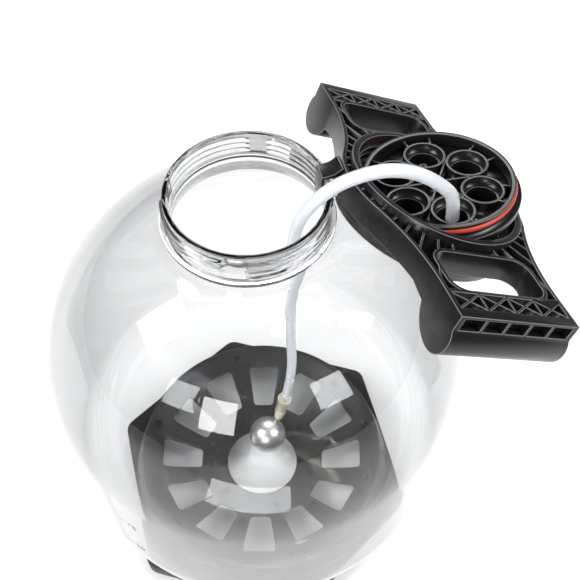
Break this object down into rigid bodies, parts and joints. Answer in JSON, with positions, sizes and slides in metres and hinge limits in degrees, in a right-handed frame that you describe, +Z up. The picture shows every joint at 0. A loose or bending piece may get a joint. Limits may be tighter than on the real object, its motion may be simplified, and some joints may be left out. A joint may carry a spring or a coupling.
{
  "type": "wide-mouth fermenting vessel",
  "caption": "Clear bulbous fermenting vessel on a black stand, with its ported lid, handled lid nut, dip tube and float hung on the neck.",
  "frame": {"origin": "on the vessel's axis, at the level the stand's feet rest on", "axes": "+Z up along the vessel's axis, +X towards the hung lid"},
  "size_m": [0.385, 0.3498, 0.5112],
  "materials": {
    "clear": "clear blown PET, polished, faint moulding ripples",
    "black": "satin black injection moulding",
    "cap_black": "satin black, fluted",
    "orange": "orange moulding",
    "foot_rubber": "matt rubber",
    "red_seal": "smooth silicone O-ring",
    "black_seal": "smooth rubber seals",
    "silicone": "clear milky silicone tube",
    "amber": "yellowish translucent plastic",
    "steel": "bright stainless",
    "steel_satin": "satin stainless shell"
  },
  "bodies": {
    "vessel_on_stand": {"vessel": "clear", "stand": "black", "stand_feet": "foot_rubber"},
    "hung_lid": {"handle": "black", "rim_hook": "black", "lid_disc": "black", "lid_seal": "red_seal", "port_seals": "black_seal", "relief_body": "black", "relief_spring": "steel", "liquid_post": "black", "liquid_spring": "steel", "post_seal": "black_seal", "dip_tube": "silicone", "float_pickup": "amber", "float_link": "steel", "float_ball": "steel_satin"},
    "cap_1": {"blank_cap_1": "cap_black"},
    "cap_2": {"blank_cap_2": "cap_black"},
    "cap_3": {"blank_cap_3": "cap_black"},
    "cap_4": {"blank_cap_4": "cap_black"},
    "relief_collar_cap": {"relief_collar": "cap_black"},
    "liquid_collar_cap": {"liquid_collar": "orange"},
    "relief_pull": {"relief_stem": "steel", "relief_ring": "steel"},
    "liquid_valve": {"liquid_poppet": "steel"}
  },
  "joints": [
    {"name": "lid_lift", "type": "slide", "parent": "vessel_on_stand", "child": "hung_lid", "axis": [0, 0, 1], "range_m": [0, 0.5]},
    {"name": "cap_1_turn", "type": "hinge", "parent": "hung_lid", "child": "cap_1", "pos_m": [0.16299, 0.00784, 0.4439], "axis": [0.028, -0.1549, -0.9875], "continuous": true},
    {"name": "cap_2_turn", "type": "hinge", "parent": "hung_lid", "child": "cap_2", "pos_m": [0.15649, 0.03776, 0.43903], "axis": [0.028, -0.1549, -0.9875], "continuous": true},
    {"name": "cap_3_turn", "type": "hinge", "parent": "hung_lid", "child": "cap_3", "pos_m": [0.10401, 0.02641, 0.43932], "axis": [0.028, -0.1549, -0.9875], "continuous": true},
    {"name": "cap_4_turn", "type": "hinge", "parent": "hung_lid", "child": "cap_4", "pos_m": [0.11051, -0.0035, 0.4442], "axis": [0.028, -0.1549, -0.9875], "continuous": true},
    {"name": "relief_collar_turn", "type": "hinge", "parent": "hung_lid", "child": "relief_collar_cap", "pos_m": [0.127, 0.04704, 0.43673], "axis": [0.028, -0.1549, -0.9875], "continuous": true},
    {"name": "liquid_collar_turn", "type": "hinge", "parent": "hung_lid", "child": "liquid_collar_cap", "pos_m": [0.14, -0.01279, 0.44649], "axis": [0.028, -0.1549, -0.9875], "continuous": true},
    {"name": "relief_pull", "type": "slide", "parent": "hung_lid", "child": "relief_pull", "axis": [0.028, -0.1549, -0.9875], "range_m": [0, 0.003], "stiffness_N_per_m": 600, "springref_m": -0.002, "deforming": ["relief_spring"]},
    {"name": "poppet_push", "type": "slide", "parent": "hung_lid", "child": "liquid_valve", "axis": [-0.028, 0.1549, 0.9875], "range_m": [0, 0.0025], "stiffness_N_per_m": 500, "springref_m": -0.002, "deforming": ["liquid_spring"]}
  ]
}
